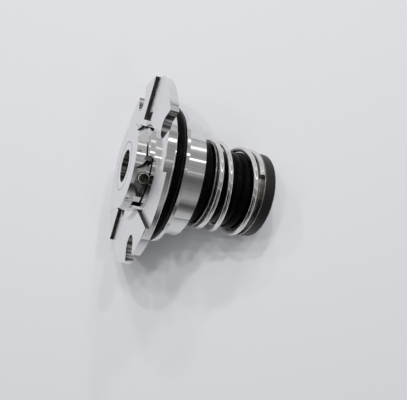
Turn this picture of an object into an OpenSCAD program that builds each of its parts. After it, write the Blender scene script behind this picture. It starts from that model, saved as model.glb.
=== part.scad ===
// Cartridge mechanical seal for a pump shaft, lying on a table.
// Every piece is drawn along the shaft axis first: the station of a point is its
// distance from the collar's front face, growing towards the tail. lie() then lays
// the whole seal down on the flange's back rim and on the edge of the tail ring.

/* [Shaft sleeve] */
// Shaft diameter that the sleeve's bore takes
bore_d = 24; // [20:0.5:27]
// Outside diameter of the sleeve under the collar and the gland
sleeve_d = 36; // [34:0.5:38]
// Outside diameter of the sleeve under the bellows
sleeve_rear_d = 48; // [44:0.5:48]
// Length of sleeve that sticks out past the retaining ring's groove
sleeve_end_land = 2; // [1:0.5:6]
// Chamfer on the ends of the sleeve
sleeve_chamfer = 0.4; // [0.2:0.1:0.8]

/* [Lock collar] */
// Outside diameter of the collar
collar_d = 63; // [60:0.5:66]
// Length of the collar along the shaft
collar_len = 16.8; // [15:0.2:18]
// How far the collar stands out of the gland's front face
collar_standout = 8.9; // [8:0.1:10]
// Chamfer on the collar's edges
collar_chamfer = 0.5; // [0.3:0.1:1]
// Gap between the collar's bore and the sleeve
collar_fit = 0.02; // [0.01:0.01:0.05]
// Thread diameter of the set screws
screw_d = 8; // [6:0.5:8]
// Length of a set screw
screw_len = 10; // [8:0.5:12]
// How far a set screw's head lies under the collar's surface
screw_recess = 0.9; // [0.5:0.1:2]
// Width of the hexagon socket across its flats
socket_af = 4; // [3:0.5:4]
// Depth of the hexagon socket
socket_depth = 4; // [3:0.5:5]
// Diameter of the countersink round a set screw
countersink_d = 9.8; // [9:0.1:11]
// How far the collar is turned from the middle of the gland's channels, in degrees
collar_turn = -4.6; // [-10:0.2:10]

/* [Gland plate] */
// Diameter of the flange
flange_d = 138; // [130:1:146]
// Thickness of the flange
flange_t = 6; // [5:0.5:8]
// Chamfer on the rim of the flange
rim_chamfer = 0.3; // [0.2:0.1:0.6]
// Diameter of the raised hub round the collar
hub_d = 76.4; // [75:0.2:80]
// Height of the raised hub over the front face
hub_h = 1.8; // [1:0.1:3]
// Gap between the collar and the counterbore that takes it
collar_gap = 2; // [1:0.1:2.5]
// Gap behind the collar at the floor of the counterbore
collar_end_gap = 0.2; // [0.1:0.1:0.5]
// Width of the channels that let a hexagon key reach the set screws
channel_w = 38; // [34:0.5:42]
// Depth of the channels under the front face
channel_depth = 2.6; // [2:0.1:3.5]
// Turn of the first channel about the shaft, in degrees
channel_turn = 16.4; // [0:0.2:30]
// Turn of the bolt slots from the channels, in degrees
slot_turn = 45.8; // [43:0.2:47]
// Width of the open bolt slots
slot_w = 15; // [12:0.5:17]
// Diameter of the circle on which the bolts stand
bolt_circle_d = 120; // [117:0.2:124]
// Diameter of the spigot that carries the gland's ring seal
spigot_d = 100.4; // [98:0.2:104]
// Length of the spigot behind the flange
spigot_len = 16.1; // [15.5:0.1:20]
// Distance from the flange to the seal groove
groove_from_flange = 7; // [5:0.1:7.5]
// Width of the seal groove
groove_w = 6.4; // [6.2:0.1:7]
// Depth of the seal groove
groove_depth = 4.6; // [4:0.1:5]
// Chamfer on the edges of the spigot and the boss
spigot_chamfer = 0.5; // [0.3:0.1:0.6]
// Diameter of the boss behind the spigot
boss_d = 86; // [82:0.5:90]
// Length of the boss behind the spigot
boss_len = 14.8; // [14:0.2:18]
// Gap between the sleeve and the gland's throat
throat_gap = 2; // [1.5:0.1:2]
// Thickness of the gland's inner web, between the counterbore and the seat pocket
web_t = 9; // [8:0.5:10]
// Thickness of the ring seal round the spigot
gland_ring_t = 5.7; // [5.4:0.1:5.8]

/* [Seat and face] */
// Diameter of the pocket that holds the seat
pocket_d = 66; // [64:0.2:68]
// Bore of the seat ring
seat_bore_d = 43; // [42:0.2:44]
// Length of the seat ring
seat_len = 12.5; // [12.5:0.1:13.5]
// Thickness of the ring seal behind the seat's shoulder
seat_ring_t = 4.8; // [4.4:0.1:5]
// Gap round the seat in its pocket
seat_gap = 0.3; // [0.2:0.1:0.5]
// Diameter of the pin that keeps the seat from turning
pin_d = 3; // [2:0.5:3]
// Inside diameter of the running face
face_bore_d = 44.6; // [44:0.2:46]
// Outside diameter of the running face's nose
nose_d = 53; // [51:0.5:54]
// Length of the running face's nose
nose_len = 2.5; // [2:0.1:3]
// Outside diameter of the running face's body
face_d = 57.4; // [56:0.2:58]
// Length of the running face's body
face_len = 7.5; // [6.5:0.1:7.5]

/* [Bellows] */
// Thickness of the rubber cup round the running face
cup_wall = 1.7; // [1.2:0.1:1.8]
// Thickness of the rubber behind the running face
cup_floor = 3; // [2.5:0.1:4]
// Height of the round bead at the back of the cup
bead_h = 1.1; // [0.8:0.1:1.3]
// Distance of the bead behind the gland's boss
bead_place = 8.7; // [8.5:0.1:10]
// Width of the bead
bead_w = 2.4; // [2:0.1:2.5]
// Thickness of the rubber tube over the sleeve
tube_wall = 3.2; // [2.8:0.1:4.4]
// Radial gap between the rubber tube and the sleeve
tube_gap = 0.3; // [0.2:0.05:0.4]
// Length of the round fold near the tail
fold_len = 7.2; // [6:0.2:9]
// Height of the low fold in the middle of the bellows
low_fold_h = 1.6; // [0.8:0.1:2]
// Length of the low fold
low_fold_len = 5.6; // [4:0.2:7]
// Distance between the two folds
fold_spacing = 0.6; // [0.2:0.2:2]
// Gap between the top of the fold and the spring
fold_gap = 0.4; // [0.3:0.1:1]

/* [Spring and bands] */
// Outside diameter of the spring
spring_d = 70; // [69:0.2:74]
// Diameter of the spring's wire
wire_d = 4.2; // [3.6:0.1:4.2]
// Length of the spring between the two bands
spring_len = 39; // [36:0.5:42]
// Radial gap between the bands' collars and the spring
band_gap = 0.3; // [0.2:0.05:0.5]
// Thickness of the sheet metal of the bands
band_t = 1; // [0.8:0.1:1.2]
// Diameter of the bands' rims
band_rim_d = 67.2; // [65:0.2:68]
// Length of the collar inside the spring on each band
band_collar_len = 6.4; // [5:0.2:7]

/* [Tail] */
// Diameter of the ring behind the spring
tail_d = 66.2; // [65:0.2:68]
// Length of the ring behind the spring
tail_len = 9.2; // [7:0.1:10]
// Rounding of the ring's back edge
tail_round = 2; // [1:0.1:3]
// Thickness of the retaining ring
clip_t = 1.5; // [1.2:0.1:2]
// How far the retaining ring stands over the sleeve
clip_h = 3.4; // [3:0.1:5]
// Gap between the retaining ring's ends
clip_opening = 4; // [3:0.5:8]
// Depth of the retaining ring's groove in the sleeve
clip_groove_depth = 1.3; // [1:0.1:1.6]
// Thickness of the ring seal in the sleeve's bore
shaft_ring_t = 3; // [2.6:0.1:3.2]

/* [Hidden] */
$fn = 96;

// Colours, as the seal shows them
polished = "#c9ccd0";
bright = "#b8bbc0";
rubber = "#141416";
charcoal = "#3a3b3e";
carbon = "#26272a";
ceramic = "#4a4c50";

// Gap that lets two pieces touch without sharing any space
touch = 0.05;

// Stations of the gland, counted from the collar's front face
gland_face_s = collar_standout;
hub_face_s = gland_face_s - hub_h;
channel_floor_s = gland_face_s + channel_depth;
flange_back_s = gland_face_s + flange_t;
counterbore_s = collar_len + collar_end_gap;
pocket_s = counterbore_s + web_t;
spigot_end_s = flange_back_s + spigot_len;
boss_end_s = spigot_end_s + boss_len;
groove_s = flange_back_s + groove_from_flange;

// Radii of the gland
flange_r = flange_d / 2;
hub_r = hub_d / 2;
counterbore_r = collar_d / 2 + collar_gap;
spigot_r = spigot_d / 2;
groove_r = spigot_r - groove_depth;
boss_r = boss_d / 2;
throat_r = sleeve_d / 2 + throat_gap;
pocket_r = pocket_d / 2;

// Stations and radii of the seat, whose back end is narrow to leave room for its ring seal
seat_back_s = pocket_s + seat_gap;
seat_face_s = seat_back_s + seat_len;
seat_r = pocket_r - seat_gap;
seat_neck_r = seat_r - seat_ring_t;
seat_shoulder_s = seat_back_s + seat_ring_t + 2 * seat_gap;
pin_r = pin_d / 2;
pin_place_r = (seat_bore_d / 2 + seat_neck_r) / 2;
pin_reach = 3.5;

// Stations and radii of the running face and of the rubber cup round it
face_front_s = seat_face_s + touch / 5;
face_shoulder_s = face_front_s + nose_len;
face_back_s = face_shoulder_s + face_len;
cup_r = face_d / 2 + touch + cup_wall;
cup_front_s = face_shoulder_s + 1;
cup_floor_s = face_back_s + touch + cup_floor;

// Radii of the spring and the bands
spring_r = spring_d / 2;
coil_r = spring_r - wire_d / 2;
coil_inner_r = spring_r - wire_d;
band_collar_r = coil_inner_r - band_gap;
band_inner_r = band_collar_r - band_t;
band_rim_r = band_rim_d / 2;

// Stations of the bands, the tail ring and the sleeve's end
bead_front_s = boss_end_s + bead_place;
bead_back_s = bead_front_s + bead_w;
front_band_s = bead_back_s + 0.7;
spring_front_s = front_band_s + band_t;
spring_back_s = spring_front_s + spring_len;
rear_band_s = spring_back_s;
tail_front_s = rear_band_s + band_t + touch;
tail_back_s = tail_front_s + tail_len;
clip_s = tail_back_s + 2 * touch;
clip_groove_s = clip_s - touch;
clip_groove_w = clip_t + 2 * touch;
sleeve_end_s = clip_groove_s + clip_groove_w + sleeve_end_land;

// Radii and stations of the sleeve and the rubber tube over it
bore_r = bore_d / 2;
sleeve_r = sleeve_d / 2;
sleeve_rear_r = sleeve_rear_d / 2;
travel = 3;
sleeve_step_s = cup_floor_s + travel + 0.4;
tube_inner_r = sleeve_rear_r + tube_gap;
tube_r = tube_inner_r + tube_wall;
tube_end_s = rear_band_s - 2 * touch;
fold_top_r = coil_inner_r - fold_gap;
fold_back_s = rear_band_s - band_collar_len - 0.5;
fold_front_s = fold_back_s - fold_len;
low_fold_s = fold_front_s - fold_spacing - low_fold_len;
shaft_groove_r = bore_r + shaft_ring_t + 2 * touch;
shaft_groove_w = shaft_ring_t + 0.8;
shaft_groove_s = tail_front_s + 0.5;
clip_groove_r = sleeve_rear_r - clip_groove_depth;

// Places of the set screws
screw_s = collar_len / 2;
screw_r = screw_d / 2;
screw_top_r = collar_d / 2 - screw_recess;
screw_fit = 0.03;
screw_clear_r = screw_r - 0.8;

// The seal lies on the flange's back rim and on the tail ring's rounded back edge
rest_rise = flange_r - tail_d / 2 + tail_round;
rest_run = (tail_back_s - tail_round) - (flange_back_s - rim_chamfer);
tilt = acos(tail_round / norm([rest_run, rest_rise])) - atan2(rest_run, rest_rise);

// Course of the spring's wire: turn about the shaft in degrees, and share of the way to
// the tail, with a closed coil at both ends and one wide coil between them
wire_course = [[-75, 0], [0, 0.012], [75, 0.045], [285, 0.135], [435, 0.262], [560, 0.46],
               [690, 0.697], [787, 0.843], [900, 0.925], [1040, 0.985], [1144, 1]];
coil_sides = 16;
coil_step = 10;

// Lays what is drawn along the shaft on the table, with the shaft's axis at the
// flange's back face kept at the origin
module lie() {
    rotate([0, 90 + tilt, 0])
        rotate([0, 0, 90])
            translate([0, 0, -flange_back_s])
                children();
}

// Points of an arc about a centre, from one angle to another
function arc(centre, radius, from, to, steps) =
    [for (i = [0:steps]) centre + radius * [cos(from + (to - from) * i / steps),
                                            sin(from + (to - from) * i / steps)]];

// Ring of round section, at a radius and a station
module round_ring(ring_r, station, section_t) {
    translate([0, 0, station])
        rotate_extrude()
            translate([ring_r, 0])
                circle(d = section_t, $fn = 48);
}

// Hole of a set screw, from the shaft's axis outwards
module screw_hole(radius, reach) {
    translate([0, 0, screw_s])
        rotate([0, 90, 0])
            cylinder(r = radius, h = reach, $fn = 48);
}

// Turned outline of the gland: counterbore, hub, flange, spigot with its groove, boss, pocket
module gland_outline() {
    polygon([
        [counterbore_r, hub_face_s], [hub_r - rim_chamfer, hub_face_s], [hub_r, hub_face_s + rim_chamfer],
        [hub_r, gland_face_s], [flange_r - rim_chamfer, gland_face_s], [flange_r, gland_face_s + rim_chamfer],
        [flange_r, flange_back_s - rim_chamfer], [flange_r - rim_chamfer, flange_back_s],
        [spigot_r, flange_back_s],
        [spigot_r, groove_s - spigot_chamfer], [spigot_r - spigot_chamfer, groove_s], [groove_r, groove_s],
        [groove_r, groove_s + groove_w], [spigot_r - spigot_chamfer, groove_s + groove_w],
        [spigot_r, groove_s + groove_w + spigot_chamfer],
        [spigot_r, spigot_end_s - spigot_chamfer], [spigot_r - spigot_chamfer, spigot_end_s],
        [boss_r, spigot_end_s], [boss_r, boss_end_s - spigot_chamfer],
        [boss_r - spigot_chamfer, boss_end_s], [pocket_r + spigot_chamfer, boss_end_s],
        [pocket_r, boss_end_s - spigot_chamfer], [pocket_r, pocket_s], [throat_r, pocket_s],
        [throat_r, counterbore_s], [counterbore_r, counterbore_s]
    ]);
}

// Straight channel across the whole front of the gland
module channel() {
    translate([-flange_d, -channel_w / 2, hub_face_s - 1])
        cube([2 * flange_d, channel_w, channel_floor_s - hub_face_s + 1]);
}

// Bolt slot with a round end, open at the rim
module bolt_slot() {
    slot_h = flange_t + 2;
    translate([bolt_circle_d / 2, 0, gland_face_s - 1])
        cylinder(d = slot_w, h = slot_h);
    translate([bolt_circle_d / 2, -slot_w / 2, gland_face_s - 1])
        cube([flange_r, slot_w, slot_h]);
}

// Gland: flange with four bolt slots and four key channels, spigot and boss in one piece
module gland_plate() {
    color(polished) lie() difference() {
        rotate_extrude() gland_outline();
        for (i = [0:1]) rotate(channel_turn + 90 * i) channel();
        for (i = [0:3]) rotate(channel_turn + slot_turn + 90 * i) bolt_slot();
        rotate(channel_turn)
            translate([pin_place_r, 0, pocket_s - pin_reach])
                cylinder(r = pin_r + touch / 5, h = pin_reach + 1, $fn = 32);
    }
}

// Ring seal in the spigot's groove
module gland_oring() {
    color(rubber) lie()
        round_ring(groove_r + gland_ring_t / 2 + touch, groove_s + groove_w / 2, gland_ring_t);
}

// Stationary seat with a narrow back end and a notch for its pin
module seat_ring() {
    seat_bore_r = seat_bore_d / 2;
    color(ceramic) lie() difference() {
        rotate_extrude() polygon([
            [seat_bore_r, seat_back_s], [seat_neck_r, seat_back_s], [seat_neck_r, seat_shoulder_s],
            [seat_r, seat_shoulder_s], [seat_r, seat_face_s - seat_gap], [seat_r - seat_gap, seat_face_s],
            [seat_bore_r, seat_face_s]
        ]);
        rotate(channel_turn)
            translate([pin_place_r, 0, seat_back_s - 1])
                cylinder(r = pin_r + touch, h = pin_reach + 1 + touch, $fn = 32);
    }
}

// Ring seal round the seat's narrow end
module seat_oring() {
    color(rubber) lie()
        round_ring((seat_neck_r + pocket_r) / 2, (pocket_s + seat_shoulder_s) / 2, seat_ring_t);
}

// Pin that stands in the gland's web and keeps the seat from turning
module seat_pin() {
    color(bright) lie()
        rotate(channel_turn)
            translate([pin_place_r, 0, pocket_s - pin_reach + touch])
                cylinder(r = pin_r, h = 2 * pin_reach - touch, $fn = 32);
}

// Running face with its narrow lapped nose
module face_ring() {
    color(carbon) lie() rotate_extrude() polygon([
        [face_bore_d / 2, face_front_s], [nose_d / 2, face_front_s], [nose_d / 2, face_shoulder_s],
        [face_d / 2, face_shoulder_s], [face_d / 2, face_back_s], [face_bore_d / 2, face_back_s]
    ]);
}

// Outline of the bellows: cup with its bead, tube, round fold and plain end
module bellows_outline() {
    bead_r = bead_w / 2;
    fold_r = fold_len / 2;
    fold_rise = fold_top_r - tube_r;
    polygon(concat(
        [[face_d / 2 + touch, cup_front_s], [cup_r, cup_front_s], [cup_r, bead_front_s]],
        [for (p = arc([0, 0], 1, 180, 0, 8)) [cup_r + bead_h * p[1], bead_front_s + bead_r * (1 + p[0])]],
        [[band_inner_r - band_gap, bead_back_s], [band_inner_r - band_gap, spring_front_s + band_collar_len],
         [tube_r, spring_front_s + band_collar_len + 1]],
        [for (p = arc([0, 0], 1, 180, 0, 8))
            [tube_r + low_fold_h * p[1], low_fold_s + low_fold_len * (1 + p[0]) / 2]],
        [for (p = arc([0, 0], 1, 180, 0, 12))
            [tube_r + fold_rise * p[1], fold_front_s + fold_r * (1 + p[0])]],
        [[tube_r, tube_end_s], [tube_inner_r, tube_end_s], [tube_inner_r, face_back_s + touch],
         [face_d / 2 + touch, face_back_s + touch]]
    ));
}

// Rubber bellows, in one piece with the cup round the running face
module bellows() {
    color(rubber) lie() rotate_extrude() bellows_outline();
}

// Outline of a band: flat rim that the spring pushes on, and a collar inside the spring
module band_outline() {
    polygon([
        [band_inner_r, 0], [band_rim_r - band_t / 3, 0], [band_rim_r, band_t / 3],
        [band_rim_r, band_t], [band_collar_r, band_t], [band_collar_r, band_t + band_collar_len],
        [band_inner_r, band_t + band_collar_len]
    ]);
}

// Band in front of the spring
module front_band() {
    color(bright) lie()
        translate([0, 0, front_band_s])
            rotate_extrude() band_outline();
}

// Band behind the spring, the front one turned round
module rear_band() {
    color(bright) lie()
        translate([0, 0, rear_band_s + band_t])
            mirror([0, 0, 1])
                rotate_extrude() band_outline();
}

// Share of the way along the spring at a turn, on a smooth curve through wire_course
function course_slope(i) =
    let (last = len(wire_course) - 1, here = wire_course[max(i - 1, 0)], next = wire_course[min(i + 1, last)])
    i == 0 || i == last ? 0 : (next[1] - here[1]) / (next[0] - here[0]);
function course_blend(from, to, slope_from, slope_to, u) =
    from + (to - from) * u * u * (3 - 2 * u)
    + slope_from * u * (1 - u) * (1 - u) - slope_to * u * u * (1 - u);
function course_at(turn, i = 0) =
    let (here = wire_course[i], next = wire_course[i + 1], span = next[0] - here[0])
    turn > next[0] && i < len(wire_course) - 2 ? course_at(turn, i + 1)
    : course_blend(here[1], next[1], course_slope(i) * span, course_slope(i + 1) * span,
        (turn - here[0]) / span);

// Station of the wire's middle at a turn
function wire_station(turn) =
    let (first = spring_front_s + wire_d / 2 + touch, last = spring_back_s - wire_d / 2 - touch)
    first + (last - first) * course_at(turn);

// Ring of points round the wire at a turn
function wire_ring(turn) =
    let (station = wire_station(turn))
    [for (k = [0:coil_sides - 1]) let (a = 360 * k / coil_sides, r = coil_r + wire_d / 2 * cos(a))
        [r * cos(turn), r * sin(turn), station + wire_d / 2 * sin(a)]];

// Spring of round wire with closed ends and one wide coil between them
module spring() {
    wire_from = wire_course[0][0];
    wire_to = wire_course[len(wire_course) - 1][0];
    rings = ceil((wire_to - wire_from) / coil_step);
    points = [for (j = [0:rings]) each wire_ring(wire_from + (wire_to - wire_from) * j / rings)];
    sides = [for (j = [0:rings - 1], k = [0:coil_sides - 1])
        let (here = j * coil_sides, there = here + coil_sides, next = (k + 1) % coil_sides)
        each [[here + k, here + next, there + next], [here + k, there + next, there + k]]];
    start_cap = [[for (k = [coil_sides - 1:-1:0]) k]];
    end_cap = [[for (k = [0:coil_sides - 1]) rings * coil_sides + k]];
    color(bright) lie() polyhedron(points = points, faces = concat(sides, start_cap, end_cap));
}

// Ring that backs the spring, with a rounded back edge
module tail_ring() {
    color(charcoal) lie() rotate_extrude() polygon(concat(
        [[sleeve_rear_r + 2 * touch, tail_front_s], [tail_d / 2 - rim_chamfer, tail_front_s],
         [tail_d / 2, tail_front_s + rim_chamfer]],
        arc([tail_d / 2 - tail_round, tail_back_s - tail_round], tail_round, 0, 90, 8),
        [[sleeve_rear_r + 2 * touch, tail_back_s]]
    ));
}

// Spring clip in the sleeve's groove, with an open gap between its ends
module retaining_ring() {
    clip_r = sleeve_rear_r + clip_h;
    color(bright) lie() difference() {
        translate([0, 0, clip_s])
            cylinder(r = clip_r, h = clip_t);
        translate([0, 0, clip_s - 1])
            cylinder(r = clip_groove_r + touch, h = clip_t + 2);
        translate([0, -clip_opening / 2, clip_s - 1])
            cube([clip_r + 1, clip_opening, clip_t + 2]);
    }
}

// Sleeve: narrow under the collar, wide under the bellows, with a clip groove and a seal groove
module sleeve() {
    color(polished) lie() difference() {
        rotate_extrude() polygon([
            [bore_r, sleeve_chamfer], [bore_r + sleeve_chamfer, 0], [sleeve_r - sleeve_chamfer, 0],
            [sleeve_r, sleeve_chamfer], [sleeve_r, sleeve_step_s],
            [sleeve_rear_r - sleeve_chamfer, sleeve_step_s], [sleeve_rear_r, sleeve_step_s + sleeve_chamfer],
            [sleeve_rear_r, clip_groove_s], [clip_groove_r, clip_groove_s],
            [clip_groove_r, clip_groove_s + clip_groove_w], [sleeve_rear_r, clip_groove_s + clip_groove_w],
            [sleeve_rear_r, sleeve_end_s - sleeve_chamfer], [sleeve_rear_r - sleeve_chamfer, sleeve_end_s],
            [bore_r + sleeve_chamfer, sleeve_end_s], [bore_r, sleeve_end_s - sleeve_chamfer],
            [bore_r, shaft_groove_s + shaft_groove_w], [shaft_groove_r, shaft_groove_s + shaft_groove_w],
            [shaft_groove_r, shaft_groove_s], [bore_r, shaft_groove_s]
        ]);
        for (i = [0:3]) rotate(channel_turn + collar_turn + 90 * i) screw_hole(screw_clear_r, sleeve_r + 1);
    }
}

// Ring seal in the sleeve's bore, drawn as the shaft squeezes it
module sleeve_oring() {
    color(rubber) lie()
        round_ring(bore_r + touch + shaft_ring_t / 2, shaft_groove_s + shaft_groove_w / 2, shaft_ring_t);
}

// Lock collar with four countersunk screw holes
module lock_collar() {
    collar_r = collar_d / 2;
    collar_bore_r = sleeve_r + collar_fit;
    sink_h = (countersink_d - screw_d) / 2;
    color(polished) lie() difference() {
        rotate_extrude() polygon([
            [collar_bore_r, sleeve_chamfer], [collar_bore_r + sleeve_chamfer, 0],
            [collar_r - collar_chamfer, 0], [collar_r, collar_chamfer],
            [collar_r, collar_len - collar_chamfer], [collar_r - collar_chamfer, collar_len],
            [collar_bore_r, collar_len]
        ]);
        for (i = [0:3]) rotate(channel_turn + collar_turn + 90 * i) {
            screw_hole(screw_r + screw_fit, collar_d);
            translate([collar_r - sink_h, 0, screw_s])
                rotate([0, 90, 0])
                    cylinder(r1 = screw_r + screw_fit, r2 = countersink_d / 2 + sink_h,
                        h = 2 * sink_h, $fn = 48);
        }
    }
}

// Set screw with a hexagon socket and a chamfered point, numbered round the collar
module set_screw(number) {
    point = screw_d / 8;
    color(charcoal) lie()
        rotate(channel_turn + collar_turn + 90 * (number - 1))
            translate([screw_top_r, 0, screw_s])
                rotate([0, -90, 0])
                    difference() {
                        rotate_extrude($fn = 48) polygon([
                            [0, 0], [screw_r - point / 2, 0], [screw_r, point / 2],
                            [screw_r, screw_len - point], [screw_r - point, screw_len], [0, screw_len]
                        ]);
                        translate([0, 0, -1])
                            cylinder(d = socket_af / cos(30), h = socket_depth + 1, $fn = 6);
                    }
}

module set_screw_1() { set_screw(1); }
module set_screw_2() { set_screw(2); }
module set_screw_3() { set_screw(3); }
module set_screw_4() { set_screw(4); }

gland_plate();
gland_oring();
seat_ring();
seat_oring();
seat_pin();
face_ring();
bellows();
front_band();
spring();
rear_band();
tail_ring();
retaining_ring();
sleeve();
sleeve_oring();
lock_collar();
set_screw_1();
set_screw_2();
set_screw_3();
set_screw_4();
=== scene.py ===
"""Dresses the cartridge mechanical seal: steel gland and collar, bellows, spring and tail ring.

Every piece is shaped in millimetres about a plain axis, with the shaft's axis along Z and the
collar's front face at Z = 0. One matrix then lays it down on the table, where the frame's own
solids are.
"""

import logging
import math
from dataclasses import dataclass, field
from enum import Enum
from functools import cache

import bmesh
import bpy
from mathutils import Matrix, Vector


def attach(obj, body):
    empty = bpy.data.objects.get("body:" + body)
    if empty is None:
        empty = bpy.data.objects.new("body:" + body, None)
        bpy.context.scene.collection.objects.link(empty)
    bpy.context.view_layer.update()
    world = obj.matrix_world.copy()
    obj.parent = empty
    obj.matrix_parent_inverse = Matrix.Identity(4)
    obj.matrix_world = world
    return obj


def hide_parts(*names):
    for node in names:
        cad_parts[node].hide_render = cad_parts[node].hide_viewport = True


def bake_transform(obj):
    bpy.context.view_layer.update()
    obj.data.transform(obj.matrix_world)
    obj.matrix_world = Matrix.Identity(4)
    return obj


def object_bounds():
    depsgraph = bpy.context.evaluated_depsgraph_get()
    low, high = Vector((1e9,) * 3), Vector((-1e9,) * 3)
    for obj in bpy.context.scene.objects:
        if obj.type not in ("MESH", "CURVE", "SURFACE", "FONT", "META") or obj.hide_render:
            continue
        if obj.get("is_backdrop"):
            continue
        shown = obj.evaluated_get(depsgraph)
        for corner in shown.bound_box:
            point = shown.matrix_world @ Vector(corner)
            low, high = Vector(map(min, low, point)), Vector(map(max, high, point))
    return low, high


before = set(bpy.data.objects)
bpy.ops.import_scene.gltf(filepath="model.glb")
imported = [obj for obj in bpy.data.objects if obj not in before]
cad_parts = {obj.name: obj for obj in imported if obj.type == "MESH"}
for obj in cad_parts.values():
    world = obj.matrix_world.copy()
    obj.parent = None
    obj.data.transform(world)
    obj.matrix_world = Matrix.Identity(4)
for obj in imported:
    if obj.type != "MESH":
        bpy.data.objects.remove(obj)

LOG = logging.getLogger("seal")
MM = 0.001
Colour = tuple[float, float, float]
Profile = list[tuple[float, float]]


class Slot(Enum):
    """The material slots of the new pieces."""

    TURNED = "turned_steel"
    SPRING = "spring_steel"
    SHEET = "sheet_steel"
    SCREW = "black_screw"
    RUBBER = "black_rubber"
    TAIL = "tail_rubber"


class Body(Enum):
    """The bodies that pieces ride on."""

    GLAND = "gland"
    HEAD = "head"
    ROTOR = "rotor"


class Join(Enum):
    """How one shape is joined with another."""

    CUT = "DIFFERENCE"
    UNITE = "UNION"


@dataclass(frozen=True)
class SealFrame:
    """Where the seal lies: its tilt towards the tail and the station that is at the origin."""

    tilt: float = 21.3954
    origin_station: float = 14.9

    def along(self) -> Vector:
        """The direction of the shaft's axis, from the collar to the tail."""
        t = math.radians(self.tilt)
        return Vector((math.cos(t), 0.0, -math.sin(t)))

    def across(self) -> Vector:
        """The direction of angle 0 round the shaft, level with the table."""
        return Vector((0.0, 1.0, 0.0))

    def upward(self) -> Vector:
        """The direction of angle 90 round the shaft."""
        return self.along().cross(self.across())

    def matrix(self) -> Matrix:
        """The matrix that lays a piece drawn about the plain axis on the table, in metres."""
        turn = Matrix((self.across(), self.upward(), self.along())).transposed().to_4x4()
        return turn @ Matrix.Scale(MM, 4) @ Matrix.Translation((0, 0, -self.origin_station))

    def on_axis(self, station: float) -> Vector:
        """The place of a point of the shaft's axis in the row frame, in metres."""
        return self.matrix() @ Vector((0.0, 0.0, station))


LIE = SealFrame()


# Modelling steps


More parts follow.
